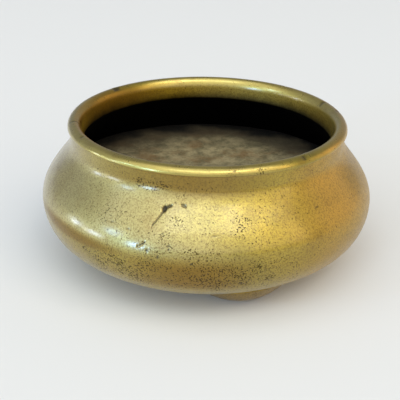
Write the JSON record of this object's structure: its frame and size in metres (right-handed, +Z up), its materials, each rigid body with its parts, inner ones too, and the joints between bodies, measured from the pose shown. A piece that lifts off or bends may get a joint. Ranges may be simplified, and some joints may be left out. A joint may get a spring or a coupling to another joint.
{
  "type": "tripod incense burner",
  "caption": "Squat round bronze censer bowl with a rolled lip and short neck, standing on three breast-shaped feet, part filled with ash.",
  "frame": {"origin": "on the ground, under the middle of the bowl", "axes": "+Z up along the bowl's axis; the front of the burner faces -Y, with one foot a little to its right"},
  "size_m": [0.14, 0.14, 0.0628],
  "materials": {
    "bronze": "satin",
    "worn_bronze": "satin",
    "ash": "matte"
  },
  "bodies": {
    "root": {"bowl": "bronze", "foot_front": "worn_bronze", "foot_right": "worn_bronze", "foot_left": "worn_bronze", "ash_bed": "ash"}
  },
  "joints": []
}
